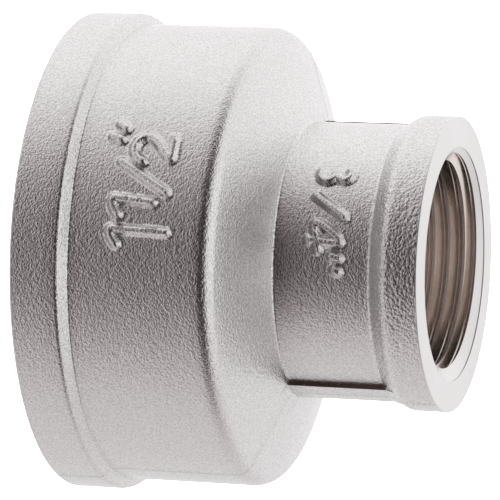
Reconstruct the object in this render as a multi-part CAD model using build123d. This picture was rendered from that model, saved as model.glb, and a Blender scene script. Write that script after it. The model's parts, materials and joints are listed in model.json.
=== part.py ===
from build123d import *
import os
from math import radians, tan

# Reducing coupling, 1 1/2 inch to 3/4 inch, both ends with an internal pipe thread.
# One hot forging of brass, bored, countersunk and tapped from both ends.
# It stands on its large end: the bores run along Z, and the large end's face is z = 0.
# The forging dies parted on the plane y = 0, which left a trimmed land on both X sides.

# Large socket (mm)
large_thread_major = 47.803
large_thread_depth = 1.479
large_wall = 3.05
large_collar_step = 1.3
large_collar_width = 6.5
large_collar_flank = 0.9
large_body_length = 23.05
large_mouth_clearance = 0.4

# Small socket
small_thread_major = 26.441
small_thread_depth = 1.162
small_wall = 2.83
small_collar_step = 1.15
small_collar_width = 5.9
small_collar_flank = 1.85
small_body_length = 17.2
small_mouth_clearance = 0.38

# Shoulder between them, a shallow cone outside and inside
shoulder_rise = 4.15
shoulder_wall = 3.4

# Countersinks at the mouths, half the angle of the tool
countersink_angle = 60.0

# Rounds of the forging, and the edges that were broken where the end faces are turned
large_collar_round = 2.9
corner_round = 2.0
small_collar_round = 2.2
large_edge_break = 0.15
small_edge_break = 0.2

# Trimmed flash left standing on the small barrel, where the dies met
land_width = 4.3
land_height = 0.5

# Radii and heights that follow from these sizes
large_barrel_radius = large_thread_major / 2 + large_wall
large_collar_radius = large_barrel_radius + large_collar_step
large_bore_radius = large_thread_major / 2 - large_thread_depth
large_mouth_radius = large_thread_major / 2 + large_mouth_clearance
small_barrel_radius = small_thread_major / 2 + small_wall
small_collar_radius = small_barrel_radius + small_collar_step
small_bore_radius = small_thread_major / 2 - small_thread_depth
small_mouth_radius = small_thread_major / 2 + small_mouth_clearance

root_height = large_body_length + shoulder_rise
length = root_height + small_body_length
small_collar_height = length - small_collar_width
shoulder_slope = shoulder_rise / (large_barrel_radius - small_barrel_radius)
large_countersink = (large_mouth_radius - large_bore_radius) / tan(radians(countersink_angle))
small_countersink = (small_mouth_radius - small_bore_radius) / tan(radians(countersink_angle))

# The inside of the shoulder runs parallel to its outside, lower by the wall
floor_height = (
    root_height
    - (large_bore_radius - small_barrel_radius) * shoulder_slope
    - shoulder_wall
)
throat_height = floor_height + (large_bore_radius - small_bore_radius) * shoulder_slope

# The largest part of a straight run that the rounds at its two ends may take together
round_share = 0.95


def fitted_radii(points, wanted):
    """Radii for the inner corners of an outline, less where the runs are too short."""
    runs = [Vector(*end) - Vector(*start) for start, end in zip(points, points[1:])]
    turns = [radians(a.get_angle(b)) for a, b in zip(runs, runs[1:])]
    reach = [radius * tan(turn / 2) for radius, turn in zip(wanted, turns)]
    taken = [a + b for a, b in zip([0.0, *reach], [*reach, 0.0])]
    fits = [
        min(1.0, round_share * run.length / total) if total else 1.0
        for run, total in zip(runs, taken)
    ]
    return [radius * min(fit) for radius, fit in zip(wanted, zip(fits, fits[1:]))]


def turned_form(outline):
    """Solid of revolution from corners of (radius, height, round), from axis to axis."""
    points = [(radius, height) for radius, height, _ in outline]
    wanted = [corner for _, _, corner in outline[1:-1]]
    edge = FilletPolyline(*points, radius=fitted_radii(points, wanted))
    axis = Line(points[-1], points[0])
    half_section = make_face(Plane.XZ * (Curve() + [edge, axis]))
    return revolve(half_section, Axis.Z)


def forging():
    """Outside, from the large end's face up to the small one's."""
    return turned_form(
        [
            (0, 0, 0),
            (large_collar_radius - large_edge_break, 0, 0),
            (large_collar_radius, large_edge_break, 0),
            (
                large_collar_radius,
                large_collar_width - large_collar_flank,
                large_collar_round,
            ),
            (large_barrel_radius, large_collar_width, 0),
            (large_barrel_radius, large_body_length, corner_round),
            (small_barrel_radius, root_height, 0),
            (small_barrel_radius, small_collar_height, 0),
            (
                small_collar_radius,
                small_collar_height + small_collar_flank,
                small_collar_round,
            ),
            (small_collar_radius, length - small_edge_break, 0),
            (small_collar_radius - small_edge_break, length, 0),
            (0, length, 0),
        ]
    )


def bores():
    """Both bores at the threads' minor diameters, their countersinks and the cone between."""
    return turned_form(
        [
            (0, 0, 0),
            (large_mouth_radius, 0, 0),
            (large_bore_radius, large_countersink, 0),
            (large_bore_radius, floor_height, 0),
            (small_bore_radius, throat_height, 0),
            (small_bore_radius, length - small_countersink, 0),
            (small_mouth_radius, length, 0),
            (0, length, 0),
        ]
    )


def flash_lands():
    """Trimmed land on both sides of the small barrel, from the shoulder to the collar."""
    top = small_collar_height + small_collar_flank * land_height / small_collar_step
    run = top - large_body_length
    on_base = (Align.CENTER, Align.CENTER, Align.MIN)
    stock = Cylinder(small_barrel_radius + land_height, run, align=on_base)
    slab = Box(2 * large_barrel_radius, land_width, run, align=on_base)
    return Pos(0, 0, large_body_length) * (stock & slab)


coupling_body = forging() + flash_lands() - bores()

os.makedirs("parts", exist_ok=True)
export_step(coupling_body, "parts/coupling_body.step")
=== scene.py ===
import json
import math

import bpy
from mathutils import Matrix, Vector


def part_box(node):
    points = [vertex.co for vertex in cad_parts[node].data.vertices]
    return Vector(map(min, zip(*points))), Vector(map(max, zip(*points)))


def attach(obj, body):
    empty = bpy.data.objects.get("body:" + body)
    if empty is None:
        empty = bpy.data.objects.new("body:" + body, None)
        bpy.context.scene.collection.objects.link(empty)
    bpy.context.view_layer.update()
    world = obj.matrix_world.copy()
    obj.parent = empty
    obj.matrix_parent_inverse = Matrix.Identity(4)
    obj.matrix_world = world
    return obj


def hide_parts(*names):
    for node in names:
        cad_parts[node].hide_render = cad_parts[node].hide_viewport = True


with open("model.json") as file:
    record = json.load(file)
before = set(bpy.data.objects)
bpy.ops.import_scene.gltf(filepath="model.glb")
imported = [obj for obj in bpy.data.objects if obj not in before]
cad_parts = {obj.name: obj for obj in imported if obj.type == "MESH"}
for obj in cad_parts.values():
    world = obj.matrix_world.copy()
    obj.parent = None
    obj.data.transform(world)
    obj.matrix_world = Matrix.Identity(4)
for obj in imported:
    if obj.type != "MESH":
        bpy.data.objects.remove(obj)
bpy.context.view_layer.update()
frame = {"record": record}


# Raised sizes, 1 1/2 inch on the large barrel and 3/4 inch on the small one. They were cut
# into one half of the forging die as grooves, so on the brass each stroke stands up as a
# narrow ridge with sloping sides. Both marks sit on the -Y side.
mm = 0.001
large_barrel_radius = 26.95 * mm
small_barrel_radius = 16.05 * mm
marks_azimuth = math.radians(-70.2)

# Strokes in mm, as (across, up) from the mark's own zero, read from left to right
large_mark_strokes = [
    [(0.70, 6.15), (1.55, 6.75), (2.45, 6.80), (2.40, 5.60), (2.20, 0.30)],
    [(4.05, 6.15), (5.05, 6.80), (5.90, 6.80), (5.85, 5.60), (5.55, 2.20)],
    [(6.75, 0.70), (10.15, 6.45)],
    [(10.35, 4.00), (10.75, 4.75), (11.60, 5.20), (12.60, 5.00), (13.30, 4.25),
     (13.30, 3.40), (12.60, 2.50), (11.50, 1.65), (10.75, 0.75), (12.00, 0.65), (13.35, 0.70)],
    [(12.95, 6.95), (13.30, 8.00)],
    [(14.35, 6.65), (14.95, 7.45)],
]
small_mark_strokes = [
    [(-10.75, 4.35), (-10.10, 4.50), (-9.50, 4.00), (-9.70, 3.15), (-10.25, 2.75),
     (-9.65, 2.45), (-9.35, 1.75), (-9.70, 1.05), (-10.60, 0.90)],
    [(-7.25, 0.95), (-4.85, 4.50)],
    [(-2.10, 0.55), (-1.95, 4.25), (-4.05, 1.30), (-1.00, 1.75)],
    [(-0.35, 3.40), (-0.10, 4.25)],
    [(1.20, 3.75), (1.40, 4.20)],
]
large_mark_foot = 18.3 * mm
small_mark_foot = 30.75 * mm
stroke_point_spacing = 0.15 * mm


def add_node(tree, kind, inputs=(), **settings):
    """One node with its settings; inputs are values or sockets by name or number."""
    made = tree.nodes.new(kind)
    for name, value in settings.items():
        setattr(made, name, value)
    for key, value in dict(inputs).items():
        if isinstance(value, bpy.types.NodeSocket):
            tree.links.new(value, made.inputs[key])
        else:
            made.inputs[key].default_value = value
    return made


def new_tree(name, sockets):
    """A Geometry Nodes tree with geometry in and out and its named inputs."""
    tree = bpy.data.node_groups.new(name, "GeometryNodeTree")
    tree.is_modifier = True
    tree.interface.new_socket("Geometry", in_out="OUTPUT", socket_type="NodeSocketGeometry")
    tree.interface.new_socket("Geometry", in_out="INPUT", socket_type="NodeSocketGeometry")
    for socket, kind in sockets.items():
        tree.interface.new_socket(socket, in_out="INPUT", socket_type="NodeSocket" + kind)
    return tree


def plain_object(name, points, edges=()):
    """An object whose mesh is points and edges, to be shaped by a tree."""
    mesh = bpy.data.meshes.new(name)
    mesh.from_pydata(points, edges, [])
    piece = bpy.data.objects.new(name, mesh)
    bpy.context.scene.collection.objects.link(piece)
    return piece


def shaped(piece, tree, values):
    """Runs a tree on an object with its named values and keeps the result as a plain mesh."""
    modifier = piece.modifiers.new(tree.name, "NODES")
    modifier.node_group = tree
    for item in tree.interface.items_tree:
        if item.name in values and item.in_out == "INPUT":
            modifier[item.identifier] = values[item.name]
    piece.update_tag()
    shape = piece.evaluated_get(bpy.context.evaluated_depsgraph_get())
    mesh = bpy.data.meshes.new_from_object(shape)
    piece.modifiers.remove(modifier)
    piece.data = mesh
    if mesh.materials and mesh.materials[0] is None:
        mesh.materials.pop(index=0)
    return piece


def wrap_tree():
    """Lays flat strokes round a barrel as smooth lines."""
    tree = new_tree("wrap_strokes", {
        "Radius": "Float", "Azimuth": "Float", "Foot": "Float", "Reading": "Float",
        "Spacing": "Float",
    })
    given = add_node(tree, "NodeGroupInput").outputs
    curve = add_node(tree, "GeometryNodeMeshToCurve", {0: given["Geometry"]}).outputs[0]
    smooth = add_node(tree, "GeometryNodeCurveSplineType", {0: curve}, spline_type="CATMULL_ROM")
    even = add_node(tree, "GeometryNodeResampleCurve", {
        "Curve": smooth.outputs[0], "Length": given["Spacing"],
    }, mode="LENGTH").outputs[0]
    flat = add_node(tree, "ShaderNodeSeparateXYZ", {
        0: add_node(tree, "GeometryNodeInputPosition").outputs[0],
    }).outputs
    arc = add_node(tree, "ShaderNodeMath", {
        0: flat[0], 1: given["Radius"],
    }, operation="DIVIDE").outputs[0]
    angle = add_node(tree, "ShaderNodeMath", {
        0: arc, 1: given["Reading"], 2: given["Azimuth"],
    }, operation="MULTIPLY_ADD").outputs[0]
    height = add_node(tree, "ShaderNodeMath", {
        0: flat[1], 1: given["Reading"], 2: given["Foot"],
    }, operation="MULTIPLY_ADD").outputs[0]
    upright = add_node(tree, "ShaderNodeCombineXYZ", {0: given["Radius"], 2: height}).outputs[0]
    place = add_node(tree, "ShaderNodeVectorRotate", {
        "Vector": upright, "Angle": angle,
    }, rotation_type="Z_AXIS").outputs[0]
    wrapped = add_node(tree, "GeometryNodeSetPosition", {0: even, "Position": place}).outputs[0]
    lines = add_node(tree, "GeometryNodeCurveToMesh", {0: wrapped}).outputs[0]
    add_node(tree, "NodeGroupOutput", {0: lines})
    return tree


def flat_strokes(name, strokes):
    """One flat object that holds a mark's strokes as edges."""
    points = [(across * mm, up * mm, 0) for stroke in strokes for across, up in stroke]
    ends = [sum(len(s) for s in strokes[:i + 1]) for i in range(len(strokes))]
    edges = [(i, i + 1) for i in range(len(points) - 1) if i + 1 not in ends]
    return plain_object(name, points, edges)


# The large mark reads towards -X with its feet up, and the small one the other way round
wrap = wrap_tree()
large_mark = shaped(flat_strokes("large_mark", large_mark_strokes), wrap, {
    "Radius": large_barrel_radius, "Azimuth": marks_azimuth, "Foot": large_mark_foot,
    "Reading": -1.0, "Spacing": stroke_point_spacing,
})
small_mark = shaped(flat_strokes("small_mark", small_mark_strokes), wrap, {
    "Radius": small_barrel_radius, "Azimuth": marks_azimuth, "Foot": small_mark_foot,
    "Reading": 1.0, "Spacing": stroke_point_spacing,
})


# The forging: one hot forging of brass, shot blasted and nickel plated. A large and a small
# barrel meet at a shallow cone, each barrel ends in a collar, and the dies' parting line
# runs along both X sides, with a trimmed land on the small barrel.
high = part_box("coupling_body")[1]
length = high.z
seam_height = 0.06 * mm
seam_half_width = 0.2 * mm
large_collar_radius = high.x - seam_height
small_collar_radius = 17.2 * mm
large_collar_foot = 6.5 * mm
large_collar_flank = 0.9 * mm
corner_height = 23.05 * mm
root_height = 27.2 * mm
small_collar_foot = 38.5 * mm
small_collar_flank = 1.85 * mm
edge_round = 0.12 * mm
collar_foot_round = 0.25 * mm
large_collar_round = 0.7 * mm
corner_round = 2.0 * mm
root_round = 0.4 * mm
small_foot_round = 1.05 * mm
small_collar_round = 2.2 * mm
rounding_steps = 7
finish_step = 0.02 * mm
skin_start = edge_round + 2 * finish_step
skin_strip = 0.1 * mm
forged_limit = 0.75

large_marks_low = 8.8 * mm
large_marks_high = 19.8 * mm
small_marks_low = 30.0 * mm
small_marks_high = 36.8 * mm
large_marks_rows = 60
small_marks_rows = 40

ridge_height = 0.6 * mm
ridge_top = 0.22 * mm
ridge_foot = 0.74 * mm
land_height = 0.5 * mm
land_half_width = 2.12 * mm
land_edge = 0.04 * mm
land_shift = 0.5 * mm
land_middle = 33.0 * mm
land_half_length = 5.9 * mm
unevenness = 0.04 * mm
unevenness_length = 5.0 * mm
merge_distance = 0.001 * mm


def half_section(name, corners):
    """Points of a half section, from corners of (radius, height, round, steps, forged)."""
    path = []
    for i, (radius, height, rounding, steps, forged) in enumerate(corners):
        here = Vector((radius, height))
        if rounding:
            back = (Vector(corners[i - 1][:2]) - here).normalized()
            ahead = (Vector(corners[i + 1][:2]) - here).normalized()
            half = back.angle(ahead) / 2
            centre = here + (back + ahead).normalized() * rounding / math.sin(half)
            start = here + back * rounding / math.tan(half) - centre
            sweep = start.angle_signed(here + ahead * rounding / math.tan(half) - centre)
            arc = [
                centre + Matrix.Rotation(-sweep * step / rounding_steps, 2) @ start
                for step in range(rounding_steps + 1)
            ]
            if not forged:
                arc = [arc[0] + back * finish_step, *arc, arc[-1] + ahead * finish_step]
        else:
            arc = [here]
        path.append((arc, steps, forged))
    points = []
    finish = []
    for i, (arc, steps, forged) in enumerate(path):
        following = path[i + 1][0][0] if i + 1 < len(path) else arc[-1]
        run = [arc[-1].lerp(following, step / steps) for step in range(1, steps)]
        points += [(p.x, 0, p.y) for p in arc + run]
        finish += [forged] * len(arc + run)
    section = plain_object(name, points)
    section.data.attributes.new("forged", "FLOAT", "POINT").data.foreach_set("value", finish)
    return section


def column_azimuths(name, spans):
    """Azimuths of the columns of a turned form, kept as points, from (start, end, step)."""
    angles = []
    for start, end, step in spans:
        count = max(1, round((end - start) / step))
        angles += [start + (end - start) * i / count for i in range(count)]
    angles.append(spans[-1][1])
    return plain_object(name, [(math.radians(angle), 0, 0) for angle in angles])


def turned_tree():
    """A half section swept round Z, with lands, marks and seams where it is forged."""
    tree = new_tree("turned_form", {
        "Columns": "Object", "Large Mark": "Object", "Small Mark": "Object",
        "Ridge Height": "Float", "Ridge Top": "Float", "Ridge Foot": "Float",
        "Seam Height": "Float", "Seam Half Width": "Float",
        "Land Radius": "Float", "Land Half Width": "Float", "Land Edge": "Float",
        "Land Shift": "Float", "Land Middle": "Float", "Land Half Length": "Float",
        "Unevenness": "Float", "Unevenness Scale": "Float", "Merge": "Float",
        "Forged Finish": "Material", "Turned Finish": "Material", "Sheared Painted Shade Finish": "Material",
    })
    given = add_node(tree, "NodeGroupInput").outputs
    position = add_node(tree, "GeometryNodeInputPosition").outputs[0]

    # A grid with one row for each point of the section and one column for each azimuth
    rows = add_node(tree, "GeometryNodeAttributeDomainSize", {0: given["Geometry"]}).outputs[0]
    azimuths = add_node(tree, "GeometryNodeObjectInfo", {0: given["Columns"]}).outputs["Geometry"]
    columns = add_node(tree, "GeometryNodeAttributeDomainSize", {0: azimuths}).outputs[0]
    grid = add_node(tree, "GeometryNodeMeshGrid", {
        "Vertices X": rows, "Vertices Y": columns,
    }).outputs[0]
    index = add_node(tree, "GeometryNodeInputIndex").outputs[0]
    row = add_node(tree, "FunctionNodeIntegerMath", {
        0: index, 1: columns,
    }, operation="DIVIDE_FLOOR").outputs[0]
    column = add_node(tree, "FunctionNodeIntegerMath", {
        0: index, 1: columns,
    }, operation="MODULO").outputs[0]
    section = add_node(tree, "GeometryNodeSampleIndex", {
        0: given["Geometry"], "Value": position, "Index": row,
    }, data_type="FLOAT_VECTOR").outputs[0]
    forged_name = add_node(tree, "GeometryNodeInputNamedAttribute", {0: "forged"}, data_type="FLOAT")
    forged_value = add_node(tree, "GeometryNodeSampleIndex", {
        0: given["Geometry"], "Value": forged_name.outputs[0], "Index": row,
    }, data_type="FLOAT").outputs[0]
    azimuth = add_node(tree, "GeometryNodeSampleIndex", {
        0: azimuths, "Value": position, "Index": column,
    }, data_type="FLOAT_VECTOR").outputs[0]
    kept = add_node(tree, "GeometryNodeCaptureAttribute", {0: grid})
    kept.capture_items.new("FLOAT", "Forged")
    tree.links.new(forged_value, kept.inputs["Forged"])
    forged = kept.outputs["Forged"]
    swept = add_node(tree, "ShaderNodeVectorRotate", {
        "Vector": section, "Angle": add_node(tree, "ShaderNodeSeparateXYZ", {0: azimuth}).outputs[0],
    }, rotation_type="Z_AXIS").outputs[0]
    turned = add_node(tree, "GeometryNodeSetPosition", {
        0: kept.outputs[0], "Position": swept,
    }).outputs[0]
    joined = add_node(tree, "GeometryNodeMergeByDistance", {
        0: turned, "Distance": given["Merge"],
    }).outputs[0]
    whole = add_node(tree, "GeometryNodeFlipFaces", {0: joined}).outputs[0]

    # The lands: on both X sides the small barrel is brought out to the land's radius. The
    # dies stood a little out of line, which moves the land on the -X side
    place = add_node(tree, "ShaderNodeSeparateXYZ", {0: position}).outputs
    behind = add_node(tree, "ShaderNodeMath", {0: place[0], 1: 0.0}, operation="LESS_THAN").outputs[0]
    moved = add_node(tree, "ShaderNodeMath", {
        0: behind, 1: given["Land Shift"], 2: place[1],
    }, operation="MULTIPLY_ADD").outputs[0]
    off_land = add_node(tree, "ShaderNodeMath", {0: moved}, operation="ABSOLUTE").outputs[0]
    land_limit = add_node(tree, "ShaderNodeMath", {
        0: given["Land Half Width"], 1: given["Land Edge"],
    }, operation="ADD").outputs[0]
    on_land = add_node(tree, "ShaderNodeMapRange", {
        0: off_land, 1: given["Land Half Width"], 2: land_limit, 3: 1.0, 4: 0.0,
    }).outputs[0]
    along_land = add_node(tree, "ShaderNodeMath", {
        0: place[2], 1: given["Land Middle"], 2: given["Land Half Length"],
    }, operation="COMPARE").outputs[0]
    outward = add_node(tree, "ShaderNodeVectorMath", {
        0: position, 1: (1.0, 1.0, 0.0),
    }, operation="MULTIPLY").outputs[0]
    radius = add_node(tree, "ShaderNodeVectorMath", {0: outward}, operation="LENGTH").outputs["Value"]
    short = add_node(tree, "ShaderNodeMath", {
        0: given["Land Radius"], 1: radius,
    }, operation="SUBTRACT").outputs[0]
    lacking = add_node(tree, "ShaderNodeMath", {0: short, 1: 0.0}, operation="MAXIMUM").outputs[0]
    forged_land = add_node(tree, "ShaderNodeMath", {
        0: along_land, 1: forged,
    }, operation="MULTIPLY").outputs[0]
    landed_share = add_node(tree, "ShaderNodeMath", {
        0: forged_land, 1: on_land,
    }, operation="MULTIPLY").outputs[0]
    rise = add_node(tree, "ShaderNodeMath", {
        0: lacking, 1: landed_share,
    }, operation="MULTIPLY").outputs[0]
    away = add_node(tree, "ShaderNodeVectorMath", {0: outward}, operation="NORMALIZE").outputs[0]
    step = add_node(tree, "ShaderNodeVectorMath", {0: away, "Scale": rise}, operation="SCALE").outputs[0]
    landed = add_node(tree, "GeometryNodeSetPosition", {0: whole, "Offset": step}).outputs[0]

    # Ridges along the marks, the seam along the parting plane, and the forging's unevenness
    marks = add_node(tree, "GeometryNodeJoinGeometry")
    for name in ("Large Mark", "Small Mark"):
        lines = add_node(tree, "GeometryNodeObjectInfo", {0: given[name]}).outputs["Geometry"]
        tree.links.new(lines, marks.inputs[0])
    near = add_node(tree, "GeometryNodeProximity", {0: marks.outputs[0]}, target_element="EDGES")
    ridge = add_node(tree, "ShaderNodeMapRange", {
        0: near.outputs["Distance"], 1: given["Ridge Top"], 2: given["Ridge Foot"],
        3: given["Ridge Height"], 4: 0.0,
    }).outputs[0]
    off_seam = add_node(tree, "ShaderNodeMath", {0: place[1]}, operation="ABSOLUTE").outputs[0]
    seam = add_node(tree, "ShaderNodeMapRange", {
        0: off_seam, 1: 0.0, 2: given["Seam Half Width"], 3: given["Seam Height"], 4: 0.0,
    }, interpolation_type="SMOOTHSTEP").outputs[0]
    noise = add_node(tree, "ShaderNodeTexNoise", {
        "Scale": given["Unevenness Scale"], "Detail": 2.0,
    }, noise_dimensions="3D").outputs[0]
    uneven = add_node(tree, "ShaderNodeMath", {
        0: noise, 1: given["Unevenness"],
    }, operation="MULTIPLY").outputs[0]
    raised = add_node(tree, "ShaderNodeMath", {0: ridge, 1: seam}, operation="MAXIMUM").outputs[0]
    surface = add_node(tree, "ShaderNodeMath", {0: raised, 1: uneven}, operation="SUBTRACT").outputs[0]
    lift = add_node(tree, "ShaderNodeMath", {0: surface, 1: forged}, operation="MULTIPLY").outputs[0]
    normal = add_node(tree, "GeometryNodeInputNormal").outputs[0]
    offset = add_node(tree, "ShaderNodeVectorMath", {0: normal, "Scale": lift}, operation="SCALE")
    struck = add_node(tree, "GeometryNodeSetPosition", {
        0: landed, "Offset": offset.outputs[0],
    }).outputs[0]

    # The finishes: turned where the section says so, and on the lands' walls a sheared finish whose dark
    # brown is painted shade
    smooth = add_node(tree, "GeometryNodeSetShadeSmooth", {0: struck}).outputs[0]
    real = add_node(tree, "GeometryNodeRealizeInstances", {0: smooth}).outputs[0]
    is_forged = add_node(tree, "ShaderNodeMath", {0: forged, 1: forged_limit}, operation="GREATER_THAN")
    wall_middle = add_node(tree, "ShaderNodeMath", {
        0: given["Land Edge"], 1: 0.5, 2: given["Land Half Width"],
    }, operation="MULTIPLY_ADD").outputs[0]
    on_wall = add_node(tree, "ShaderNodeMath", {
        0: off_land, 1: wall_middle, 2: given["Land Edge"],
    }, operation="COMPARE").outputs[0]
    # Painted shade: the lands' walls take the dark brown finish that stands in for their shade
    is_shaded_wall = add_node(tree, "ShaderNodeMath", {
        0: on_wall, 1: forged_land,
    }, operation="MULTIPLY").outputs[0]
    turned_faces = add_node(tree, "GeometryNodeSetMaterial", {
        0: real, "Material": given["Turned Finish"],
    }).outputs[0]
    forged_faces = add_node(tree, "GeometryNodeSetMaterial", {
        0: turned_faces, "Selection": is_forged.outputs[0], "Material": given["Forged Finish"],
    }).outputs[0]
    shaded_wall_faces = add_node(tree, "GeometryNodeSetMaterial", {
        0: forged_faces, "Selection": is_shaded_wall, "Material": given["Sheared Painted Shade Finish"],
    }).outputs[0]
    add_node(tree, "NodeGroupOutput", {0: shaded_wall_faces})
    return tree


def linear(colour):
    """An sRGB hex colour as linear RGBA."""
    parts = [int(colour[i:i + 2], 16) / 255 for i in (1, 3, 5)]
    parts = [p / 12.92 if p <= 0.04045 else ((p + 0.055) / 1.055) ** 2.4 for p in parts]
    return (*parts, 1.0)


def new_material(name):
    """A node material and its shader."""
    material = bpy.data.materials.new(name)
    material.use_nodes = True
    return material, material.node_tree, material.node_tree.nodes["Principled BSDF"]


def blasted_nickel():
    """Bright nickel plate over a shot-blasted forging: a fine pebbled grain, stronger on the
    small collar, with painted shade greying the small pits and a soft gloss."""
    pebble = 0.4 * mm
    fine_grain = 0.19 * mm
    grain_depth = 0.055 * mm
    pebble_share = 0.45
    pit_floor = 0.3
    pit_rim = 0.6
    material, tree, shader = new_material("blasted_nickel_plate")
    place = add_node(tree, "ShaderNodeTexCoord").outputs["Object"]
    pebbles = add_node(tree, "ShaderNodeTexVoronoi", {
        "Vector": place, "Scale": 1 / pebble, "Smoothness": 0.35,
    }, feature="SMOOTH_F1").outputs["Distance"]
    grit = add_node(tree, "ShaderNodeTexNoise", {
        "Vector": place, "Scale": 1 / fine_grain, "Detail": 1.0,
    }).outputs[0]
    height = add_node(tree, "ShaderNodeSeparateXYZ", {0: place}).outputs[2]
    collar_share = add_node(tree, "ShaderNodeMapRange", {
        0: height, 1: small_collar_foot, 2: small_collar_foot + small_collar_flank,
        3: pebble_share, 4: 1.0,
    }).outputs[0]
    coarse = add_node(tree, "ShaderNodeBump", {
        "Height": pebbles, "Distance": grain_depth, "Strength": collar_share,
    }, invert=True)
    fine = add_node(tree, "ShaderNodeBump", {
        "Height": grit, "Distance": grain_depth, "Normal": coarse.outputs[0],
    })
    # Painted shade: the low spots of the grit are greyed
    pit_shade = add_node(tree, "ShaderNodeMapRange", {0: grit, 1: pit_floor, 2: pit_rim}).outputs[0]
    tone = add_node(tree, "ShaderNodeMix", {
        0: pit_shade, 6: linear("#D2CFCF"), 7: linear("#E9E8E8"),
    }, data_type="RGBA").outputs[2]
    tree.links.new(tone, shader.inputs["Base Color"])
    tree.links.new(fine.outputs[0], shader.inputs["Normal"])
    shader.inputs["Metallic"].default_value = 1.0
    shader.inputs["Roughness"].default_value = 0.25
    return material


def turned_nickel():
    """Nickel plate over a lathe-turned face: fine rings round the axis under a satin gloss."""
    ring_spacing = 0.12 * mm
    ring_depth = 0.004 * mm
    wave_period = 0.314  # of the wave texture at a scale of 1
    cloud_size = 8 * mm
    material, tree, shader = new_material("turned_nickel_plate")
    place = add_node(tree, "ShaderNodeTexCoord").outputs["Object"]
    rings = add_node(tree, "ShaderNodeTexWave", {
        "Vector": place, "Scale": wave_period / ring_spacing, "Distortion": 0.4, "Detail": 2.0,
        "Detail Scale": 2.0,
    }, wave_type="RINGS", rings_direction="Z", wave_profile="SIN").outputs["Fac"]
    bump = add_node(tree, "ShaderNodeBump", {"Height": rings, "Distance": ring_depth})
    cloud = add_node(tree, "ShaderNodeTexNoise", {
        "Vector": place, "Scale": 1 / cloud_size, "Detail": 2.0,
    }).outputs[0]
    tone = add_node(tree, "ShaderNodeMix", {
        0: cloud, 6: linear("#DEDDDC"), 7: linear("#E8E7E7"),
    }, data_type="RGBA").outputs[2]
    tree.links.new(tone, shader.inputs["Base Color"])
    tree.links.new(bump.outputs[0], shader.inputs["Normal"])
    shader.inputs["Metallic"].default_value = 1.0
    shader.inputs["Roughness"].default_value = 0.32
    return material


def sheared_nickel_painted_shade():
    """Thin plate over the strip where the flash was sheared off: dull and torn, and dark brown as painted
    shade along the land's wall.
    """
    tear = 0.3 * mm
    tear_depth = 0.2 * mm
    material, tree, shader = new_material("sheared_plate_painted_shade")
    place = add_node(tree, "ShaderNodeTexCoord").outputs["Object"]
    torn = add_node(tree, "ShaderNodeTexNoise", {
        "Vector": place, "Scale": 1 / tear, "Detail": 2.0,
    }).outputs[0]
    bump = add_node(tree, "ShaderNodeBump", {"Height": torn, "Distance": tear_depth})
    # Painted shade: the dark brown stands in for the shade along the land's wall
    tone = add_node(tree, "ShaderNodeMix", {
        0: torn, 6: linear("#6A5854"), 7: linear("#8F807B"),
    }, data_type="RGBA").outputs[2]
    tree.links.new(tone, shader.inputs["Base Color"])
    tree.links.new(bump.outputs[0], shader.inputs["Normal"])
    shader.inputs["Metallic"].default_value = 1.0
    shader.inputs["Roughness"].default_value = 0.45
    return material


blasted = blasted_nickel()
turned = turned_nickel()

forging = half_section("coupling", [
    (0, 0, 0, 1, 0),
    (large_collar_radius, 0, edge_round, 1, 0),
    (large_collar_radius, skin_start, 0, 1, 1),
    (large_collar_radius, skin_start + skin_strip, 0, 3, 1),
    (large_collar_radius, large_collar_foot - large_collar_flank, large_collar_round, 1, 1),
    (large_barrel_radius, large_collar_foot, collar_foot_round, 2, 1),
    (large_barrel_radius, large_marks_low, 0, large_marks_rows, 1),
    (large_barrel_radius, large_marks_high, 0, 2, 1),
    (large_barrel_radius, corner_height, corner_round, 6, 1),
    (small_barrel_radius, root_height, root_round, 3, 1),
    (small_barrel_radius, small_marks_low, 0, small_marks_rows, 1),
    (small_barrel_radius, small_marks_high, 0, 2, 1),
    (small_barrel_radius, small_collar_foot, small_foot_round, 1, 1),
    (small_collar_radius, small_collar_foot + small_collar_flank, small_collar_round, 5, 1),
    (small_collar_radius, length - skin_start - skin_strip, 0, 1, 1),
    (small_collar_radius, length - skin_start, 0, 1, 1),
    (small_collar_radius, length, edge_round, 1, 0),
    (0, length, 0, 1, 0),
])

# Columns stand at both edges of each wall of the lands, close together at the seams and marks
columns = column_azimuths("columns", [
    (-175, -170.65, 1.3), (-170.65, -170.4, 1), (-170.4, -117, 2.2), (-117, -57, 0.33),
    (-57, -7.75, 2.2), (-7.75, -7.45, 1), (-7.45, -0.6, 1.4), (-0.6, 0.6, 0.3),
    (0.6, 7.45, 1.4), (7.45, 7.75, 1), (7.75, 174.05, 2.2), (174.05, 174.25, 1),
    (174.25, 179.4, 1.4), (179.4, 180.6, 0.3), (180.6, 185, 1.4),
])
turned_form = turned_tree()
shaped(forging, turned_form, {
    "Columns": columns, "Large Mark": large_mark, "Small Mark": small_mark,
    "Ridge Height": ridge_height, "Ridge Top": ridge_top, "Ridge Foot": ridge_foot,
    "Seam Height": seam_height, "Seam Half Width": seam_half_width,
    "Land Radius": small_barrel_radius + land_height,
    "Land Half Width": land_half_width, "Land Edge": land_edge, "Land Shift": land_shift,
    "Land Middle": land_middle, "Land Half Length": land_half_length,
    "Unevenness": unevenness, "Unevenness Scale": 1 / unevenness_length,
    "Merge": merge_distance,
    "Forged Finish": blasted, "Turned Finish": turned, "Sheared Painted Shade Finish": sheared_nickel_painted_shade(),
})


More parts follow.
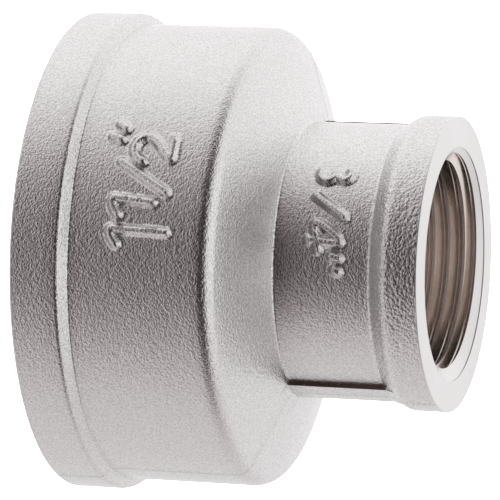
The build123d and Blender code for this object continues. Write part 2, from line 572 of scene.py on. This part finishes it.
# The bores: drilled and turned from both ends, with a short upright edge and a 120 degree
# countersink at each mouth, and a cone between them that runs parallel to the shoulder.
mounts = {mount["name"]: mount for mount in frame["record"]["mounts"]}
large_bore_radius = mounts["large_thread"]["dims"]["r_mm"] * mm
small_bore_radius = mounts["small_thread"]["dims"]["r_mm"] * mm
large_mouth_radius = 24.3 * mm
small_mouth_radius = 13.6 * mm
floor_height = 21.37 * mm
throat_height = 25.32 * mm
floor_round = 1.5 * mm
throat_round = 0.8 * mm
overrun = 1.0 * mm
mouth_edge = 0.12 * mm
countersink_slope = math.tan(math.radians(120 / 2))
large_countersink_depth = (large_mouth_radius - large_bore_radius) / countersink_slope
small_countersink_depth = (small_mouth_radius - small_bore_radius) / countersink_slope
bore_columns = 192

bores = half_section("bores", [
    (0, -overrun, 0, 1, 0),
    (large_mouth_radius, -overrun, 0, 1, 0),
    (large_mouth_radius, mouth_edge, 0, 1, 0),
    (large_bore_radius, mouth_edge + large_countersink_depth, 0, 1, 0),
    (large_bore_radius, floor_height, floor_round, 1, 0),
    (small_bore_radius, throat_height, throat_round, 1, 0),
    (small_bore_radius, length - mouth_edge - small_countersink_depth, 0, 1, 0),
    (small_mouth_radius, length - mouth_edge, 0, 1, 0),
    (small_mouth_radius, length + overrun, 0, 1, 0),
    (0, length + overrun, 0, 1, 0),
])
even_columns = column_azimuths("even_columns", [(0, 360, 360 / bore_columns)])
shaped(bores, turned_form, {
    "Columns": even_columns, "Merge": merge_distance,
    "Forged Finish": turned, "Turned Finish": turned, "Sheared Painted Shade Finish": turned,
})


# The threads: right-hand pipe threads of 55 degrees, 11 to the inch in the large bore and 14
# to the inch in the small one, cut by a tap from each mouth and fading where its lead ends.
# Their roots are rounded and their crests are the flats that the bore leaves.
large_thread_major = 47.803 * mm
large_thread_pitch = 2.309 * mm
small_thread_major = 26.441 * mm
small_thread_pitch = 1.814 * mm
large_turns = 9
small_turns = 11
large_full_depth = 13.5 * mm
small_full_depth = 13.0 * mm
lead_slope = 0.3
root_radius_share = 0.137329
flank_angle = math.radians(27.5)
root_steps = 4
below_bore = 0.2 * mm
tap_columns = 192
sharp_angle = math.radians(38)


def thread_section(name, major_radius, bore_radius, pitch):
    """One pitch of a tap: a rounded crest between two flanks that reach below the bore."""
    rounding = root_radius_share * pitch
    centre = major_radius - rounding
    below = bore_radius - below_bore
    points = []
    for step in range(root_steps + 1):
        angle = (math.pi / 2 - flank_angle) * (2 * step / root_steps - 1)
        points.append((centre + rounding * math.cos(angle), 0, rounding * math.sin(angle)))
    reach = points[-1][2] + (points[-1][0] - below) * math.tan(flank_angle)
    return plain_object(name, [(below, 0, -reach), *points, (below, 0, reach)])


def tap_tree():
    """One pitch's section repeated along a helix, with a tapered lead and closed ends."""
    closed_edge_limit = 1.5  # an open edge has one face, a closed one two
    tree = new_tree("tap", {
        "Pitch": "Float", "Turns": "Int", "Start": "Float", "Mouth": "Float",
        "Inward": "Float", "Full Depth": "Float", "Lead Slope": "Float",
        "Columns": "Int", "Merge": "Float", "Finish": "Material",
    })
    given = add_node(tree, "NodeGroupInput").outputs
    position = add_node(tree, "GeometryNodeInputPosition").outputs[0]

    # A grid with one row for each point of each turn's section
    count = add_node(tree, "GeometryNodeAttributeDomainSize", {0: given["Geometry"]}).outputs[0]
    rows = add_node(tree, "FunctionNodeIntegerMath", {
        0: count, 1: given["Turns"], 2: 1,
    }, operation="MULTIPLY_ADD").outputs[0]
    columns = add_node(tree, "FunctionNodeIntegerMath", {
        0: given["Columns"], 1: 1,
    }, operation="ADD").outputs[0]
    grid = add_node(tree, "GeometryNodeMeshGrid", {
        "Vertices X": rows, "Vertices Y": columns,
    }).outputs[0]
    index = add_node(tree, "GeometryNodeInputIndex").outputs[0]
    row = add_node(tree, "FunctionNodeIntegerMath", {
        0: index, 1: columns,
    }, operation="DIVIDE_FLOOR").outputs[0]
    column = add_node(tree, "FunctionNodeIntegerMath", {
        0: index, 1: columns,
    }, operation="MODULO").outputs[0]
    turn = add_node(tree, "FunctionNodeIntegerMath", {
        0: row, 1: count,
    }, operation="DIVIDE_FLOOR").outputs[0]
    within = add_node(tree, "FunctionNodeIntegerMath", {
        0: row, 1: count,
    }, operation="MODULO").outputs[0]
    sampled = add_node(tree, "GeometryNodeSampleIndex", {
        0: given["Geometry"], "Value": position, "Index": within,
    }, data_type="FLOAT_VECTOR").outputs[0]
    section = add_node(tree, "ShaderNodeSeparateXYZ", {0: sampled}).outputs

    # The helix climbs one pitch a turn, and the lead narrows past the full depth
    share = add_node(tree, "ShaderNodeMath", {
        0: column, 1: given["Columns"],
    }, operation="DIVIDE").outputs[0]
    angle = add_node(tree, "ShaderNodeMath", {0: share, 1: math.tau}, operation="MULTIPLY").outputs[0]
    turned = add_node(tree, "ShaderNodeMath", {0: turn, 1: share}, operation="ADD").outputs[0]
    along = add_node(tree, "ShaderNodeMath", {
        0: turned, 1: given["Pitch"], 2: given["Start"],
    }, operation="MULTIPLY_ADD").outputs[0]
    height = add_node(tree, "ShaderNodeMath", {0: along, 1: section[2]}, operation="ADD").outputs[0]
    from_mouth = add_node(tree, "ShaderNodeMath", {
        0: height, 1: given["Mouth"],
    }, operation="SUBTRACT").outputs[0]
    depth = add_node(tree, "ShaderNodeMath", {
        0: from_mouth, 1: given["Inward"],
    }, operation="MULTIPLY").outputs[0]
    beyond = add_node(tree, "ShaderNodeMath", {
        0: depth, 1: given["Full Depth"],
    }, operation="SUBTRACT").outputs[0]
    on_lead = add_node(tree, "ShaderNodeMath", {0: beyond, 1: 0.0}, operation="MAXIMUM").outputs[0]
    loss = add_node(tree, "ShaderNodeMath", {
        0: on_lead, 1: given["Lead Slope"],
    }, operation="MULTIPLY").outputs[0]
    radius = add_node(tree, "ShaderNodeMath", {0: section[0], 1: loss}, operation="SUBTRACT").outputs[0]
    swept = add_node(tree, "ShaderNodeVectorRotate", {
        "Vector": add_node(tree, "ShaderNodeCombineXYZ", {0: radius, 2: height}).outputs[0],
        "Angle": angle,
    }, rotation_type="Z_AXIS").outputs[0]
    helix = add_node(tree, "GeometryNodeSetPosition", {0: grid, "Position": swept}).outputs[0]
    joined = add_node(tree, "GeometryNodeMergeByDistance", {
        0: helix, "Distance": given["Merge"],
    }).outputs[0]

    # Both open ends are drawn in to a point on the axis
    neighbours = add_node(tree, "GeometryNodeInputMeshEdgeNeighbors").outputs[0]
    open_edges = add_node(tree, "ShaderNodeMath", {
        0: neighbours, 1: closed_edge_limit,
    }, operation="LESS_THAN")
    ends = add_node(tree, "GeometryNodeExtrudeMesh", {
        0: joined, "Selection": open_edges.outputs[0], "Offset Scale": 0.0,
    }, mode="EDGES").outputs
    span = add_node(tree, "ShaderNodeMath", {
        0: given["Turns"], 1: given["Pitch"],
    }, operation="MULTIPLY").outputs[0]
    middle = add_node(tree, "ShaderNodeMath", {
        0: span, 1: 0.5, 2: given["Start"],
    }, operation="MULTIPLY_ADD").outputs[0]
    place = add_node(tree, "ShaderNodeSeparateXYZ", {0: position}).outputs
    far = add_node(tree, "ShaderNodeMath", {0: place[2], 1: middle}, operation="GREATER_THAN").outputs[0]
    cap = add_node(tree, "ShaderNodeMath", {
        0: far, 1: span, 2: given["Start"],
    }, operation="MULTIPLY_ADD").outputs[0]
    closed = add_node(tree, "GeometryNodeSetPosition", {
        0: ends["Mesh"], "Selection": ends["Top"],
        "Position": add_node(tree, "ShaderNodeCombineXYZ", {2: cap}).outputs[0],
    }).outputs[0]
    sealed = add_node(tree, "GeometryNodeMergeByDistance", {
        0: closed, "Distance": given["Merge"],
    }).outputs[0]
    outward = add_node(tree, "GeometryNodeFlipFaces", {0: sealed}).outputs[0]
    smooth = add_node(tree, "GeometryNodeSetShadeSmooth", {0: outward}).outputs[0]
    real = add_node(tree, "GeometryNodeRealizeInstances", {0: smooth}).outputs[0]
    finished = add_node(tree, "GeometryNodeSetMaterial", {0: real, "Material": given["Finish"]})
    add_node(tree, "NodeGroupOutput", {0: finished.outputs[0]})
    return tree


def tapped_nickel_painted_reflection():
    """Thin nickel plate inside a tapped bore: bright and smooth, warm in its own tone and browner in soft
    patches, the extra brown a painted reflection of the bore's own walls.
    """
    patch_size = 1.2 * mm
    patch_depth = 0.01 * mm
    material, tree, shader = new_material("tapped_plate_painted_reflection")
    place = add_node(tree, "ShaderNodeTexCoord").outputs["Object"]
    patches = add_node(tree, "ShaderNodeTexNoise", {
        "Vector": place, "Scale": 1 / patch_size, "Detail": 3.0,
    }).outputs[0]
    # Painted reflection: warmer and browner than the outer plate, in soft patches
    tone = add_node(tree, "ShaderNodeMix", {
        0: patches, 6: linear("#E6DAD2"), 7: linear("#F2EAE4"),
    }, data_type="RGBA").outputs[2]
    bump = add_node(tree, "ShaderNodeBump", {"Height": patches, "Distance": patch_depth})
    tree.links.new(tone, shader.inputs["Base Color"])
    tree.links.new(bump.outputs[0], shader.inputs["Normal"])
    shader.inputs["Metallic"].default_value = 1.0
    shader.inputs["Roughness"].default_value = 0.17
    return material


tapped = tapped_nickel_painted_reflection()
tap = tap_tree()
large_tap = thread_section("large_tap", large_thread_major / 2, large_bore_radius, large_thread_pitch)
shaped(large_tap, tap, {
    "Pitch": large_thread_pitch, "Turns": large_turns, "Start": -large_thread_pitch,
    "Mouth": 0.0, "Inward": 1.0, "Full Depth": large_full_depth, "Lead Slope": lead_slope,
    "Columns": tap_columns, "Merge": merge_distance, "Finish": tapped,
})
small_tap = thread_section("small_tap", small_thread_major / 2, small_bore_radius, small_thread_pitch)
shaped(small_tap, tap, {
    "Pitch": small_thread_pitch, "Turns": small_turns,
    "Start": length - (small_turns - 1) * small_thread_pitch,
    "Mouth": length, "Inward": -1.0, "Full Depth": small_full_depth, "Lead Slope": lead_slope,
    "Columns": tap_columns, "Merge": merge_distance, "Finish": tapped,
})

for cutter in (bores, large_tap, small_tap):
    cut = forging.modifiers.new(cutter.name, "BOOLEAN")
    cut.operation = "DIFFERENCE"
    cut.solver = "MANIFOLD"
    cut.material_mode = "TRANSFER"
    cut.object = cutter
whole = forging.evaluated_get(bpy.context.evaluated_depsgraph_get())
coupling_mesh = bpy.data.meshes.new_from_object(whole)
forging.modifiers.clear()
forging.data = coupling_mesh
for spare in (bores, large_tap, small_tap, large_mark, small_mark, columns, even_columns):
    bpy.data.objects.remove(spare)
coupling_mesh.set_sharp_from_angle(angle=sharp_angle)

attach(forging, "root")
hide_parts("coupling_body")


# The studio: a pale sheet under the part, a white tent round it that is open and dark on the
# camera's side, and the camera, low in front and turned so that the axis lies across the picture.
floor_size = 1.6
sheet = bpy.data.meshes.new("floor")
corners = [(x * floor_size, y * floor_size, 0) for x, y in ((-1, -1), (1, -1), (1, 1), (-1, 1))]
sheet.from_pydata(corners, [], [(0, 1, 2, 3)])
floor = bpy.data.objects.new("floor", sheet)
bpy.context.scene.collection.objects.link(floor)

# Matt white paper: even and without gloss
paper, _, paper_shader = new_material("white_paper")
paper_shader.inputs["Base Color"].default_value = linear("#F4F4F4")
paper_shader.inputs["Roughness"].default_value = 0.9
sheet.materials.append(paper)
floor.visible_glossy = False

view_azimuth = math.radians(-70.2)
view_elevation = math.radians(17.47)
view_roll = math.radians(92.383)
view_distance = 476.51 * mm
view_target = Vector((-2.564, 5.118, 17.640)) * mm
frame_turn = (
    Matrix.Rotation(view_azimuth + math.pi / 2, 4, "Z")
    @ Matrix.Rotation(math.pi / 2 - view_elevation, 4, "X")
    @ Matrix.Rotation(view_roll, 4, "Z")
)
to_camera = Vector((
    math.cos(view_elevation) * math.cos(view_azimuth),
    math.cos(view_elevation) * math.sin(view_azimuth),
    math.sin(view_elevation),
))
camera_data = bpy.data.cameras.new("camera")
camera_data.lens = 288.0
camera_data.sensor_width = 36.0
camera_data.clip_start = 0.01
camera = bpy.data.objects.new("camera", camera_data)
bpy.context.scene.collection.objects.link(camera)
camera.matrix_world = Matrix.Translation(view_target + to_camera * view_distance) @ frame_turn
bpy.context.scene.camera = camera

# The tent's light by direction: front is level towards the camera, side is the picture's up
front = Vector((to_camera.x, to_camera.y, 0)).normalized()
side = Vector((front.y, -front.x, 0))
opening_elevation = math.radians(35)
opening = front * math.cos(opening_elevation) + Vector((0, 0, math.sin(opening_elevation)))

# Strength against half of one less the cosine of the angle from the middle of the opening
tent_strengths = [
    (0.0, 0.03), (0.12, 0.04), (0.18, 0.07), (0.2, 0.1), (0.225, 0.2), (0.26, 0.35),
    (0.31, 0.53), (0.375, 0.72), (0.445, 0.9), (0.54, 1.0), (0.64, 1.06), (0.9, 1.1),
]
world = bpy.data.worlds.new("tent")
world.use_nodes = True
tent = world.node_tree
direction = add_node(tent, "ShaderNodeTexCoord").outputs["Generated"]
toward_opening = add_node(tent, "ShaderNodeVectorMath", {
    0: direction, 1: opening,
}, operation="DOT_PRODUCT").outputs["Value"]
toward_front = add_node(tent, "ShaderNodeVectorMath", {
    0: direction, 1: front,
}, operation="DOT_PRODUCT").outputs["Value"]
toward_side = add_node(tent, "ShaderNodeVectorMath", {
    0: direction, 1: side,
}, operation="DOT_PRODUCT").outputs["Value"]
toward_top = add_node(tent, "ShaderNodeSeparateXYZ", {0: direction}).outputs[2]

from_opening = add_node(tent, "ShaderNodeMapRange", {
    0: toward_opening, 1: 1.0, 2: -1.0, 3: 0.0, 4: 1.0,
}).outputs[0]
cloth = add_node(tent, "ShaderNodeValToRGB", {0: from_opening})
cloth_stops = cloth.color_ramp.elements
for stop, (place, strength) in enumerate(tent_strengths):
    element = cloth_stops[stop] if stop < 2 else cloth_stops.new(place)
    element.position = place
    element.color = (strength, strength, strength, 1.0)

# The end wall over the small end is lit, the picture's lower side is dimmer and so is the
# floor. Each grows from its start to its full value, taken up Z or, for the side, up the picture
end_wall_start = 0.55
end_wall_full = 0.72
end_wall_strength = 0.95
lower_side_front = 0.3
lower_side_start = -0.1
lower_side_full = -1.0
lower_side_share = 0.7
floor_start = -0.5
floor_full = -1.0
floor_strength_share = 0.62
dark_glow = 0.05
bright_glow = 0.9
above = add_node(tent, "ShaderNodeMapRange", {
    0: toward_top, 1: end_wall_start, 2: end_wall_full, 3: 0.0, 4: 1.0,
}, interpolation_type="SMOOTHSTEP").outputs[0]
walls = add_node(tent, "ShaderNodeMix", {
    0: above, 2: cloth.outputs[0], 3: end_wall_strength,
}, data_type="FLOAT").outputs[0]
lower = add_node(tent, "ShaderNodeMath", {
    0: toward_front, 1: lower_side_front, 2: toward_side,
}, operation="MULTIPLY_ADD").outputs[0]
side_share = add_node(tent, "ShaderNodeMapRange", {
    0: lower, 1: lower_side_full, 2: lower_side_start, 3: lower_side_share, 4: 1.0,
}).outputs[0]
floor_share = add_node(tent, "ShaderNodeMapRange", {
    0: toward_top, 1: floor_full, 2: floor_start, 3: floor_strength_share, 4: 1.0,
}, interpolation_type="SMOOTHSTEP").outputs[0]
shares = add_node(tent, "ShaderNodeMath", {0: side_share, 1: floor_share}, operation="MULTIPLY").outputs[0]
glow = add_node(tent, "ShaderNodeMath", {0: walls, 1: shares}, operation="MULTIPLY").outputs[0]
warmth = add_node(tent, "ShaderNodeMapRange", {
    0: glow, 1: dark_glow, 2: bright_glow, 3: 0.0, 4: 1.0,
}).outputs[0]
tint = add_node(tent, "ShaderNodeMix", {
    0: warmth, 6: linear("#FFE9EC"), 7: linear("#FFFEFE"),
}, data_type="RGBA").outputs[2]
tent.links.new(glow, tent.nodes["Background"].inputs["Strength"])
tent.links.new(tint, tent.nodes["Background"].inputs["Color"])
bpy.context.scene.world = world

# A lamp overhead that only lights the sheet: the plated metal does not mirror it
lamp_height = 1.0
lamp = bpy.data.lights.new("overhead", "AREA")
lamp.size = 1.5
lamp.energy = 70.0
overhead = bpy.data.objects.new("overhead", lamp)
bpy.context.scene.collection.objects.link(overhead)
overhead.location = (0, 0, lamp_height)
overhead.visible_glossy = False
overhead.visible_camera = False
bpy.context.scene.view_settings.view_transform = "Standard"
